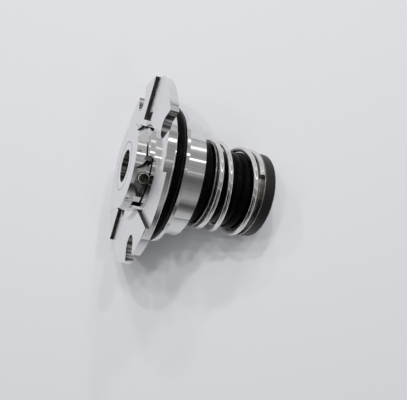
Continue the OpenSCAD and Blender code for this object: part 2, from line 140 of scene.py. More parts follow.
class Bench:
    """Modelling steps that the pieces share, each one done with Blender's own operators."""

    FLAT = 0.9999
    ROUND = 0.9996
    SAME_RADIUS = 1e-7
    SAME_PLACE = 0.01

    @staticmethod
    def clear() -> None:
        """Leaves edit mode and deselects everything."""
        if bpy.context.mode != "OBJECT":
            bpy.ops.object.mode_set(mode="OBJECT")
        bpy.ops.object.select_all(action="DESELECT")

    @staticmethod
    def only(piece: bpy.types.Object) -> None:
        """Selects one piece and makes it the active one.

        Args:
            piece: The piece.
        """
        Bench.clear()
        piece.select_set(True)
        bpy.context.view_layer.objects.active = piece

    @staticmethod
    def placed(name: str) -> bpy.types.Object:
        """Names the active object and moves its place, turn and size into its mesh.

        Args:
            name: The object's name.

        Returns:
            The object.
        """
        piece = bpy.context.active_object
        piece.name = name
        bpy.ops.object.transform_apply(location=True, rotation=True, scale=True)
        return piece

    @staticmethod
    def close(merge: float = 0.0005) -> None:
        """Merges doubled corners, turns all faces outwards and leaves edit mode.

        Args:
            merge: How near doubled corners are, in millimetres.
        """
        bpy.ops.mesh.select_all(action="SELECT")
        bpy.ops.mesh.remove_doubles(threshold=merge)
        bpy.ops.mesh.normals_make_consistent(inside=False)
        bpy.ops.object.mode_set(mode="OBJECT")

    @staticmethod
    def turned(name: str, profile: Profile, sides: int = 160) -> bpy.types.Object:
        """Turns a piece as on a lathe: a circle is extruded and resized round a profile.

        Args:
            name: The piece's name.
            profile: Radius and station of each corner, in millimetres, in order.
            sides: Corners of the circle.

        Returns:
            The new piece, about the plain axis.
        """
        Bench.clear()
        radius, station = profile[0]
        bpy.ops.mesh.primitive_circle_add(
            vertices=sides, radius=radius, fill_type="NOTHING", location=(0, 0, station)
        )
        piece = Bench.placed(name)
        bpy.ops.object.mode_set(mode="EDIT")
        bpy.ops.mesh.select_all(action="SELECT")
        for next_radius, next_station in [*profile[1:], profile[0]]:
            step = {"value": (0, 0, next_station - station)}
            bpy.ops.mesh.extrude_region_move(TRANSFORM_OT_translate=step)
            if abs(next_radius - radius) > Bench.SAME_RADIUS:
                share = next_radius / radius
                bpy.ops.transform.resize(
                    value=(share, share, 1.0), center_override=(0, 0, next_station)
                )
            radius, station = next_radius, next_station
        Bench.close()
        return piece

    @staticmethod
    def box(name: str, low: Vector, high: Vector, turn: float) -> bpy.types.Object:
        """Makes a block between two corners, turned about the plain axis.

        Args:
            name: The block's name.
            low: Its lowest corner before it is turned.
            high: Its highest corner before it is turned.
            turn: Its turn about the axis, in degrees.

        Returns:
            The block.
        """
        Bench.clear()
        bpy.ops.mesh.primitive_cube_add(size=1.0, location=(low + high) / 2)
        bpy.context.active_object.scale = high - low
        Bench.placed(name).rotation_euler = (0.0, 0.0, math.radians(turn))
        return Bench.placed(name)

    @staticmethod
    def rod(
        name: str, radius: float, start: Vector, end: Vector, sides: int = 48,
        end_radius: float | None = None,
    ) -> bpy.types.Object:
        """Makes a rod or a cone between two points.

        Args:
            name: Its name.
            radius: Its radius.
            start: Middle of its first end.
            end: Middle of its other end.
            sides: Number of its sides.
            end_radius: Radius of its other end, for a cone.

        Returns:
            The rod.
        """
        Bench.clear()
        way = end - start
        form = {
            "vertices": sides, "depth": way.length, "location": (start + end) / 2,
            "rotation": way.to_track_quat("Z", "Y").to_euler(),
        }
        if end_radius is None:
            bpy.ops.mesh.primitive_cylinder_add(radius=radius, **form)
        else:
            bpy.ops.mesh.primitive_cone_add(radius1=radius, radius2=end_radius, **form)
        return Bench.placed(name)

    @staticmethod
    def join(piece: bpy.types.Object, other: bpy.types.Object, how: Join) -> None:
        """Cuts another shape out of a piece or adds it, and removes the other shape.

        Args:
            piece: The piece.
            other: The other shape.
            how: How they are joined.
        """
        Bench.only(piece)
        step = piece.modifiers.new("join", "BOOLEAN")
        step.operation = how.value
        step.solver = "EXACT"
        step.object = other
        bpy.ops.object.modifier_apply(modifier=step.name)
        bpy.data.objects.remove(other)

    @staticmethod
    def break_edges(
        piece: bpy.types.Object, width: float, angle: float, segments: int = 2
    ) -> None:
        """Breaks a piece's sharp edges with a small bevel.

        Args:
            piece: The piece.
            width: Width of the bevel, in millimetres.
            angle: The least angle of an edge that is broken, in degrees.
            segments: Number of its strips.
        """
        Bench.only(piece)
        step = piece.modifiers.new("edges", "BEVEL")
        step.width = width
        step.segments = segments
        step.limit_method = "ANGLE"
        step.angle_limit = math.radians(angle)
        step.miter_outer = "MITER_ARC"
        bpy.ops.object.modifier_apply(modifier=step.name)

    @staticmethod
    def true_normals(piece: bpy.types.Object) -> None:
        """Gives the corners of round and flat faces the normals of the true turned form.

        Args:
            piece: The piece, about the plain axis.
        """
        mesh = piece.data
        normals = [corner.vector.copy() for corner in mesh.corner_normals]
        for face in mesh.polygons:
            for index in face.loop_indices:
                at = mesh.vertices[mesh.loops[index].vertex_index].co
                outward = Vector((at.x, at.y, 0.0)).normalized()
                facing = face.normal.dot(outward)
                if abs(face.normal.z) > Bench.FLAT:
                    normals[index] = face.normal.copy()
                elif abs(facing) > Bench.ROUND:
                    normals[index] = outward * math.copysign(1.0, facing)
        mesh.normals_split_custom_set(normals)

    @staticmethod
    def finish(
        piece: bpy.types.Object, body: Body, slot: Slot, material: bpy.types.Material,
        node: str, smooth: float = 12.0, lathe: bool = False,
    ) -> None:
        """Smooths a piece, lays it down in the frame and dresses it.

        Args:
            piece: The piece, about the plain axis.
            body: The body it rides on.
            slot: Not used.
            material: Its material, unless it has some already.
            node: The frame's node that it stands for.
            smooth: The angle under which its faces are shaded as one, in degrees.
            lathe: Whether its round and flat faces are shaded as the true turned form.
        """
        Bench.only(piece)
        bpy.ops.object.shade_smooth_by_angle(angle=math.radians(smooth))
        if lathe:
            Bench.true_normals(piece)
        piece.data.transform(LIE.matrix())
        piece.data.update()
        if not piece.data.materials:
            piece.data.materials.append(material)
        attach(piece, body.value)
        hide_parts(node)
        LOG.info("%s: %d faces, rides on %s", piece.name, len(piece.data.polygons), body.value)


def arc(
    centre: tuple[float, float], radii: tuple[float, float], start: float, end: float, steps: int
) -> Profile:
    """Gives points of an ellipse's arc in a section.

    Args:
        centre: Radius and station of the middle.
        radii: The half axes, first across the shaft and then along it.
        start: First angle in degrees, 0 away from the shaft and 90 towards the tail.
        end: Last angle in degrees.
        steps: Number of steps.

    Returns:
        Radius and station of each point.
    """
    points = []
    for i in range(steps + 1):
        a = math.radians(start + (end - start) * i / steps)
        points.append((centre[0] + radii[0] * math.cos(a), centre[1] + radii[1] * math.sin(a)))
    return points


def seen_from(at: Vector, turn: float) -> tuple[float, float]:
    """Gives a point's place as seen along a direction round the shaft.

    Args:
        at: The point, about the plain axis.
        turn: The direction, in degrees.

    Returns:
        How far out along the direction the point lies, and how far beside it.
    """
    a = math.radians(turn)
    return at.x * math.cos(a) + at.y * math.sin(a), at.y * math.cos(a) - at.x * math.sin(a)


# Finishes


class NodeDesk:
    """A small helper that places shader nodes and joins them."""

    def __init__(self, tree: bpy.types.NodeTree) -> None:
        """Takes the tree that gets the nodes.

        Args:
            tree: The tree.
        """
        self.tree = tree

    def feed(self, socket: bpy.types.NodeSocket, value: object) -> None:
        """Joins an input to another socket, or gives it a plain value.

        Args:
            socket: The input.
            value: The other socket, or the value.
        """
        if isinstance(value, bpy.types.NodeSocket):
            self.tree.links.new(value, socket)
        else:
            socket.default_value = value

    def add(
        self, kind: str, settings: dict[str, object] | None = None, **inputs: object
    ) -> bpy.types.Node:
        """Adds a node.

        Args:
            kind: The node's type.
            settings: Properties of the node.
            inputs: Values or sockets for its inputs, by name, with _ for a blank.

        Returns:
            The node.
        """
        node = self.tree.nodes.new(kind)
        for key, value in (settings or {}).items():
            setattr(node, key, value)
        for key, value in inputs.items():
            self.feed(node.inputs[key.replace("_", " ")], value)
        return node

    def math(self, operation: str, first: object, second: object = 0.0) -> bpy.types.NodeSocket:
        """Adds a maths node.

        Args:
            operation: What it does.
            first: Its first value or socket.
            second: Its second value or socket.

        Returns:
            Its output.
        """
        node = self.add("ShaderNodeMath", {"operation": operation})
        self.feed(node.inputs[0], first)
        self.feed(node.inputs[1], second)
        return node.outputs[0]

    def plus(self, first: object, second: object) -> bpy.types.NodeSocket:
        """Adds two values."""
        return self.math("ADD", first, second)

    def times(self, first: object, second: object) -> bpy.types.NodeSocket:
        """Multiplies two values."""
        return self.math("MULTIPLY", first, second)

    def reach(self, vector: bpy.types.NodeSocket, way: Vector) -> bpy.types.NodeSocket:
        """Measures how far a vector reaches along a direction.

        Args:
            vector: The vector.
            way: The direction.

        Returns:
            The distance.
        """
        node = self.add("ShaderNodeVectorMath", {"operation": "DOT_PRODUCT"})
        self.feed(node.inputs[0], vector)
        self.feed(node.inputs[1], way)
        return node.outputs["Value"]

    def noise(self, dimensions: int, **inputs: object) -> bpy.types.NodeSocket:
        """Adds a noise.

        Args:
            dimensions: In how many directions it changes.
            inputs: Values or sockets for its inputs.

        Returns:
            Its value, about 0.5.
        """
        settings = {"noise_dimensions": f"{dimensions}D"}
        return self.add("ShaderNodeTexNoise", settings, **inputs).outputs["Fac"]

    def contrast(self, value: object, strength: object) -> bpy.types.NodeSocket:
        """Spreads a value about 0.5 and holds it between 0 and 1.

        Args:
            value: The value.
            strength: How far it is spread.

        Returns:
            The spread value.
        """
        spread = self.plus(self.times(self.math("SUBTRACT", value, 0.5), strength), 0.5)
        return self.add("ShaderNodeClamp", Value=spread).outputs[0]

    def band(
        self, value: bpy.types.NodeSocket, limits: tuple[float, float], kind: str = "LINEAR"
    ) -> bpy.types.NodeSocket:
        """Lets a value rise from 0 to 1 between two limits.

        Args:
            value: What it reads.
            limits: Where it starts and ends to rise.
            kind: The form of the rise.

        Returns:
            The share from 0 to 1.
        """
        node = self.add("ShaderNodeMapRange", {"interpolation_type": kind}, Value=value)
        node.inputs["From Min"].default_value, node.inputs["From Max"].default_value = limits
        return node.outputs[0]

    def ramp(
        self, factor: bpy.types.NodeSocket, stops: list[tuple[float, Colour]]
    ) -> bpy.types.NodeSocket:
        """Adds a colour ramp.

        Args:
            factor: What it reads.
            stops: Place and colour of each stop, in order.

        Returns:
            Its colour output.
        """
        node = self.add("ShaderNodeValToRGB", None, Fac=factor)
        elements = node.color_ramp.elements
        while len(elements) < len(stops):
            elements.new(0.5)
        for element, (place, colour) in zip(elements, stops):
            element.position = place
            element.color = (*colour, 1.0)
        return node.outputs["Color"]

    def mix(self, factor: object, first: object, second: object) -> bpy.types.NodeSocket:
        """Adds a colour mix.

        Args:
            factor: Share of the second colour.
            first: First colour or socket.
            second: Second colour or socket.

        Returns:
            Its colour output.
        """
        node = self.add("ShaderNodeMix", {"data_type": "RGBA"})
        self.feed(node.inputs[0], factor)
        for index, value in ((6, first), (7, second)):
            plain = isinstance(value, tuple)
            self.feed(node.inputs[index], (*value, 1.0) if plain else value)
        return node.outputs[2]


class Effects:
    """Shader groups for effects that several finishes share."""

    STREAK_CONTRAST = 7.0
    GRAIN_SCALE = 4200.0

    @staticmethod
    def new(
        name: str, numbers: dict[str, float], outputs: tuple[str, ...]
    ) -> tuple[NodeDesk, bpy.types.bpy_prop_collection]:
        """Starts a group.

        Args:
            name: The group's name.
            numbers: Its number inputs and their values.
            outputs: Its number outputs.

        Returns:
            The helper on the group's tree, and the sockets of what the group is given.
        """
        tree = bpy.data.node_groups.new(name, "ShaderNodeTree")
        tree.interface.new_socket("Place", in_out="INPUT", socket_type="NodeSocketVector")
        for key, value in numbers.items():
            socket = tree.interface.new_socket(
                key, in_out="INPUT", socket_type="NodeSocketFloat"
            )
            socket.default_value = value
        for key in outputs:
            tree.interface.new_socket(key, in_out="OUTPUT", socket_type="NodeSocketFloat")
        return NodeDesk(tree), tree.nodes.new("NodeGroupInput").outputs

    @staticmethod
    @cache
    def marks_and_painted_streaks() -> bpy.types.NodeTree:
        """Fine rings that a lathe leaves on faces and round surfaces, and dark streaks along the
        axis that are painted reflection lines and painted shade.
        """
        desk, given = Effects.new(
            "tool marks and painted streaks", {"Fineness": 1500.0, "Waves": 160.0, "Lines": 700.0},
            ("Height", "Band", "Streaks", "Radius"),
        )
        turn = desk.add("ShaderNodeMapping", {"vector_type": "POINT"}, Vector=given["Place"])
        turn.inputs["Rotation"].default_value = (0.0, -math.radians(90.0 + LIE.tilt), 0.0)
        x, y, z = desk.add("ShaderNodeSeparateXYZ", Vector=turn.outputs[0]).outputs
        radius = desk.math("SQRT", desk.plus(desk.times(x, x), desk.times(y, y)))
        fineness = given["Fineness"]
        across = desk.noise(1, W=desk.times(radius, fineness), Scale=1.0, Detail=2.0)
        along = desk.noise(1, W=desk.times(z, fineness), Scale=1.0, Detail=2.0)
        waves = desk.times(desk.plus(z, radius), given["Waves"])
        # The streaks change only round the axis, so they run along it as dark lines: painted
        # reflection lines and painted shade.
        section = desk.add("ShaderNodeCombineXYZ", X=x, Y=y).outputs[0]
        lines = desk.noise(2, Vector=section, Scale=given["Lines"], Detail=2.0)
        desk.add(
            "NodeGroupOutput", None, Height=desk.plus(across, along), Radius=radius,
            Band=desk.noise(1, W=waves, Scale=1.0, Detail=3.0),
            Streaks=desk.contrast(lines, Effects.STREAK_CONTRAST),
        )
        return desk.tree

    @staticmethod
    @cache
    def handling() -> bpy.types.NodeTree:
        """Soft patches left by fingers and dust, as a mask from 0 to 1, and a fine grain."""
        desk, given = Effects.new("handling", {"Size": 60.0, "Sharpness": 3.0}, ("Mask", "Grain"))
        place = given["Place"]
        patch = desk.noise(3, Vector=place, Scale=given["Size"], Detail=5.0, Roughness=0.6)
        desk.add(
            "NodeGroupOutput", None, Mask=desk.contrast(patch, given["Sharpness"]),
            Grain=desk.noise(3, Vector=place, Scale=Effects.GRAIN_SCALE, Detail=2.0),
        )
        return desk.tree


def start_material(name: str) -> tuple[bpy.types.Material, NodeDesk, bpy.types.Node]:
    """Starts a material.

    Args:
        name: Its name.

    Returns:
        The material, the helper on its tree, and its shader.
    """
    material = bpy.data.materials.new(name)
    material.use_nodes = True
    tree = material.node_tree
    return material, NodeDesk(tree), tree.nodes["Principled BSDF"]


@dataclass(frozen=True)
class SteelFinish:
    """Bare steel with the rings of the lathe on it, duller on its flat faces than round."""

    name: str
    colour: Colour = (0.82, 0.82, 0.83)
    shade: Colour = (0.76, 0.76, 0.77)
    roughness: float = 0.045
    spread: float = 0.03
    metallic: float = 1.0
    shine: float = 0.5
    face_roughness: float = 0.04
    satin: tuple[float, float] = (10.5, 12.5)
    satin_roughness: float = 0.36
    satin_colour: Colour = (0.96, 0.96, 0.97)
    satin_r: float = 43.0
    # streaks, cover, streak_colour and streak_r paint dark streaks and a dark cover on walls and
    # round faces: painted reflection lines and painted shade.
    streaks: float = 0.0
    cover: float = 0.0
    streak_colour: Colour = (0.05, 0.042, 0.036)
    streak_r: float = 0.0
    lines: float = 700.0
    fineness: float = 1800.0
    waves: float = 220.0
    depth: float = 0.02
    flat_from: float = 0.98
    touch_size: float = 45.0
    touch_sharpness: float = 2.5
    mark_height: float = 0.0002

    def material(self) -> bpy.types.Material:
        """Builds the finish.

        Returns:
            The material.
        """
        material, desk, shader = start_material(self.name)
        place = desk.add("ShaderNodeTexCoord").outputs["Object"]
        marks = desk.add(
            "ShaderNodeGroup", {"node_tree": Effects.marks_and_painted_streaks()}, Place=place,
            Fineness=self.fineness, Waves=self.waves, Lines=self.lines,
        ).outputs
        touch = desk.add(
            "ShaderNodeGroup", {"node_tree": Effects.handling()}, Place=place,
            Size=self.touch_size, Sharpness=self.touch_sharpness,
        ).outputs["Mask"]
        normal = desk.add("ShaderNodeNewGeometry").outputs["True Normal"]
        facing = desk.math("ABSOLUTE", desk.reach(normal, LIE.along()))
        flat = desk.math("GREATER_THAN", facing, self.flat_from)
        satin = self.satin_mask(desk, place, marks["Radius"], flat)
        colour = desk.mix(marks["Band"], self.shade, self.colour)
        colour = desk.mix(satin, colour, self.satin_colour)
        # Painted reflection lines and painted shade: dark streaks and a dark cover mixed into the
        # colour of walls and round faces.
        if self.streaks > 0.0:
            share = desk.plus(desk.times(marks["Streaks"], self.streaks), self.cover)
            outside = desk.math("GREATER_THAN", marks["Radius"], self.streak_r * MM)
            walls = desk.times(desk.math("SUBTRACT", 1.0, flat), outside)
            colour = desk.mix(desk.times(share, walls), colour, self.streak_colour)
        desk.feed(shader.inputs["Base Color"], colour)
        rough = desk.plus(desk.times(touch, self.spread), self.roughness)
        rough = desk.plus(rough, desk.times(flat, self.face_roughness))
        rough = desk.plus(rough, desk.times(satin, self.satin_roughness))
        desk.feed(shader.inputs["Roughness"], rough)
        shader.inputs["Metallic"].default_value = self.metallic
        shader.inputs["Specular IOR Level"].default_value = self.shine
        bump = desk.add(
            "ShaderNodeBump", None, Height=marks["Height"], Strength=self.depth,
            Distance=self.mark_height,
        )
        desk.feed(shader.inputs["Normal"], bump.outputs["Normal"])
        return material

    def satin_mask(
        self, desk: NodeDesk, place: bpy.types.NodeSocket, radius: bpy.types.NodeSocket,
        flat: bpy.types.NodeSocket,
    ) -> bpy.types.NodeSocket:
        """Finds the milled floors of the channels, which are duller than the turned faces.

        Args:
            desk: The helper on the material's tree.
            place: The place on the piece.
            radius: The distance from the shaft's axis.
            flat: The mask of the faces square to the axis.

        Returns:
            A mask from 0 to 1.
        """
        station = desk.reach(place, LIE.along())
        start, end = ((edge - LIE.origin_station) * MM for edge in self.satin)
        after = desk.math("GREATER_THAN", station, start)
        before = desk.math("LESS_THAN", station, end)
        outside = desk.math("GREATER_THAN", radius, self.satin_r * MM)
        return desk.times(desk.times(desk.times(after, before), outside), flat)


@dataclass(frozen=True)
class RubberFinish:
    """Moulded elastomer, from glossy black to matt charcoal."""

    name: str
    colour: Colour = (0.0012, 0.0012, 0.0014)
    dusty: Colour = (0.0022, 0.0022, 0.0025)
    roughness: float = 0.16
    spread: float = 0.10
    shine: float = 0.06
    grain: float = 0.02
    touch_size: float = 70.0
    touch_sharpness: float = 2.0
    grain_height: float = 0.0001

    def material(self) -> bpy.types.Material:
        """Builds the finish.

        Returns:
            The material.
        """
        material, desk, shader = start_material(self.name)
        place = desk.add("ShaderNodeTexCoord").outputs["Object"]
        touch = desk.add(
            "ShaderNodeGroup", {"node_tree": Effects.handling()}, Place=place,
            Size=self.touch_size, Sharpness=self.touch_sharpness,
        ).outputs
        colour = desk.mix(touch["Mask"], self.colour, self.dusty)
        desk.feed(shader.inputs["Base Color"], colour)
        rough = desk.plus(desk.times(touch["Mask"], self.spread), self.roughness)
        desk.feed(shader.inputs["Roughness"], rough)
        shader.inputs["Specular IOR Level"].default_value = self.shine
        bump = desk.add(
            "ShaderNodeBump", None, Height=touch["Grain"], Strength=self.grain,
            Distance=self.grain_height,
        )
        desk.feed(shader.inputs["Normal"], bump.outputs["Normal"])
        return material


class Finishes:
    """All the finishes of the seal, built once."""

    def __init__(self) -> None:
        """Builds the materials."""
        # Lathe rings, and faint dark streaks along the axis on round faces that are painted
        # reflection lines.
        self.turned = SteelFinish(
            "turned steel with painted streaks", streaks=0.16, streak_colour=(0.34, 0.33, 0.32), lines=1500.0,
        ).material()
        # The bore's wall: dark stripes along the axis that change round it are painted reflection
        # and painted shade.
        self.painted_bore_stripes = SteelFinish(
            "bore with painted reflection stripes", colour=(0.85, 0.84, 0.83), shade=(0.75, 0.74, 0.73), roughness=0.30,
            spread=0.10, streaks=0.9, lines=420.0, waves=500.0, depth=0.04,
        ).material()
        # Slot walls: dark streaks and a dark cover on the milled steel are painted shade and
        # painted reflection stripes.
        self.milled = SteelFinish(
            "milled steel with painted shade stripes", roughness=0.20, spread=0.10, streaks=0.75, cover=0.20, lines=500.0,
            depth=0.04,
        ).material()
        # Channel walls: a nearly black, dull cover with faint streaks, painted shade.
        self.channel_wall_shade = SteelFinish(
            "painted shade on channel walls", roughness=0.30, spread=0.10, metallic=0.0, shine=0.10, streaks=0.03,
            cover=0.965, streak_colour=(0.012, 0.010, 0.009), streak_r=38.3, lines=900.0,
            depth=0.05,
        ).material()
        # A pale, dull finish on thin rims: painted highlight.
        self.rim_highlight = SteelFinish(
            "painted rim highlight", colour=(0.92, 0.92, 0.92), shade=(0.85, 0.85, 0.85), roughness=0.35,
            metallic=0.25,
        ).material()
        # A black cover on the sleeve's outer front edge: painted shade in the gap under the
        # collar.
        self.gap_shade = SteelFinish(
            "painted gap shade", colour=(0.020, 0.018, 0.016), shade=(0.008, 0.008, 0.008),
            roughness=0.30, spread=0.10,
        ).material()
        # A black, dull cover for the countersinks and holes: painted shade in the recesses.
        self.sink_shade = SteelFinish(
            "painted countersink shade", colour=(0.012, 0.011, 0.010), shade=(0.006, 0.006, 0.006),
            roughness=0.45, metallic=0.0, shine=0.08,
        ).material()
        self.spring = SteelFinish(
            "spring wire", colour=(0.80, 0.79, 0.78), shade=(0.74, 0.73, 0.72), roughness=0.09,
            spread=0.05, face_roughness=0.0, fineness=300.0, waves=400.0, depth=0.004,
        ).material()
        # Bands: steel darkened to a brown grey, painted shade for where they sit inside the
        # spring.
        self.sheet = SteelFinish(
            "sheet steel with painted shade", colour=(0.42, 0.40, 0.39), shade=(0.28, 0.26, 0.25), roughness=0.18,
            spread=0.08, fineness=900.0, waves=300.0, depth=0.03,
        ).material()
        self.screw = SteelFinish(
            "blackened screw", colour=(0.26, 0.25, 0.24), shade=(0.12, 0.12, 0.12),
            roughness=0.18, spread=0.08, fineness=1500.0, waves=400.0, depth=0.05,
        ).material()
        # The wire's cut ends: darkened steel, painted shade.
        self.shaded_cut_end = SteelFinish(
            "cut wire end with painted shade", colour=(0.10, 0.095, 0.09), shade=(0.03, 0.03, 0.03),
            roughness=0.40, spread=0.15, fineness=3000.0, waves=900.0, depth=0.3,
        ).material()
        self.rubber = RubberFinish("black rubber").material()
        self.tail = RubberFinish(
            "tail rubber", colour=(0.0035, 0.0035, 0.0038), dusty=(0.0065, 0.0065, 0.0070),
            roughness=0.38, spread=0.10, shine=0.42, grain=0.20,
        ).material()
        self.carbon = RubberFinish(
            "carbon", colour=(0.020, 0.020, 0.021), dusty=(0.030, 0.030, 0.031),
            roughness=0.30, spread=0.10, shine=0.60, grain=0.06,
        ).material()
        self.ceramic = RubberFinish(
            "ceramic", colour=(0.07, 0.07, 0.075), dusty=(0.09, 0.09, 0.095),
            roughness=0.18, spread=0.06, shine=0.60, grain=0.02,
        ).material()


# Pieces


@dataclass
class Gland:
    """The gland: flange with open slots and key channels, hub, spigot and boss."""

    flange_r: float = 68.99
    face: float = 8.9
    thickness: float = 6.0
    hub_r: float = 38.2
    hub_h: float = 1.8
    counterbore_r: float = 33.5
    counterbore_floor: float = 17.0
    channel_w: float = 38.0
    channel_depth: float = 2.6
    channel_turn: float = 16.4
    slot_w: float = 15.0
    slot_turn: float = 45.8
    bolt_r: float = 60.0
    count: int = 4
    rim: float = 0.3
    spigot_r: float = 50.2
    spigot_end: float = 31.0
    groove: tuple[float, float] = (21.9, 28.3)
    groove_r: float = 45.6
    groove_edge: float = 0.5
    boss_r: float = 43.0
    boss_end: float = 45.8
    pocket_r: float = 33.0
    pocket_floor: float = 26.0
    throat_r: float = 20.0
    edge: float = 0.28
    near: float = 0.35
    steep: float = 0.5
    over: float = 1.0

    def profile(self) -> Profile:
        """The section of the gland.

        Returns:
            Radius and station of each corner.
        """
        back = self.face + self.thickness
        hub_face = self.face - self.hub_h
        front, rear = self.groove
        return [
            (self.counterbore_r, hub_face), (self.hub_r, hub_face), (self.hub_r, self.face),
            (self.flange_r - self.rim, self.face), (self.flange_r, self.face + self.rim),
            (self.flange_r, back - self.rim), (self.flange_r - self.rim, back),
            (self.spigot_r, back), (self.spigot_r, front - self.groove_edge),
            (self.spigot_r - self.groove_edge, front), (self.groove_r, front),
            (self.groove_r, rear), (self.spigot_r - self.groove_edge, rear),
            (self.spigot_r, rear + self.groove_edge), (self.spigot_r, self.spigot_end),
            (self.boss_r, self.spigot_end), (self.boss_r, self.boss_end),
            (self.pocket_r, self.boss_end), (self.pocket_r, self.pocket_floor),
            (self.throat_r, self.pocket_floor), (self.throat_r, self.counterbore_floor),
            (self.counterbore_r, self.counterbore_floor),
        ]

    def build(self, finishes: Finishes) -> None:
        """Builds the gland.

        Args:
            finishes: The seal's finishes.
        """
        piece = Bench.turned("gland_body", self.profile(), sides=180)
        reach, half = self.flange_r + 5 * self.over, self.channel_w / 2
        low = Vector((-reach, -half, self.face - self.hub_h - 2 * self.over))
        high = Vector((reach, half, self.face + self.channel_depth))
        for turn in (self.channel_turn, self.channel_turn + 90.0):
            Bench.join(piece, Bench.box("channel", low, high, turn), Join.CUT)
        for turn in self.turns(self.channel_turn + self.slot_turn):
            self.cut_slot(piece, turn)
        Bench.break_edges(piece, width=self.edge, angle=32.0)
        self.mark_walls(piece, finishes)
        Bench.finish(
            piece, Body.GLAND, Slot.TURNED, finishes.turned, "gland_plate", lathe=True
        )

    def turns(self, first: float) -> list[float]:
        """The angles of what repeats round the flange, from the first one."""
        return [first + 360.0 / self.count * i for i in range(self.count)]

    def cut_slot(self, piece: bpy.types.Object, turn: float) -> None:
        """Cuts one open bolt slot.

        Args:
            piece: The gland.
            turn: Angle of the slot round the shaft, in degrees.
        """
        half = self.slot_w / 2
        front = self.face - self.over
        back = self.face + self.thickness + self.over
        low = Vector((self.bolt_r, -half, front))
        high = Vector((self.flange_r + 6 * self.over, half, back))
        block = Bench.box("slot", low, high, turn)
        a = math.radians(turn)
        middle = Vector((self.bolt_r * math.cos(a), self.bolt_r * math.sin(a), front))
        end = Bench.rod("slot end", half, middle, Vector((middle.x, middle.y, back)))
        Bench.join(block, end, Join.UNITE)
        Bench.join(piece, block, Join.CUT)

    def mark_walls(self, piece: bpy.types.Object, finishes: Finishes) -> None:
        """Gives the walls of the slots painted shade stripes and the walls of the channels
        painted shade.

        Args:
            piece: The gland.
            finishes: The seal's finishes.
        """
        for material in (finishes.turned, finishes.milled, finishes.channel_wall_shade):
            piece.data.materials.append(material)
        for face in piece.data.polygons:
            at = face.center
            if abs(face.normal.z) > self.steep or at.xy.length < self.hub_r + self.over:
                continue
            for turn in self.turns(self.channel_turn):
                beside = abs(seen_from(at, turn)[1])
                # A channel wall: painted shade.
                near_wall = abs(beside - self.channel_w / 2) < self.near
                if near_wall and at.z < self.face + self.channel_depth:
                    face.material_index = 2
                # A slot wall: painted shade stripes.
                out, beside = seen_from(at, turn + self.slot_turn)
                past = min(out - self.bolt_r, 0.0)
                from_end = math.hypot(past, beside)
                if out > 0.0 and abs(from_end - self.slot_w / 2) < self.near:
                    face.material_index = 1


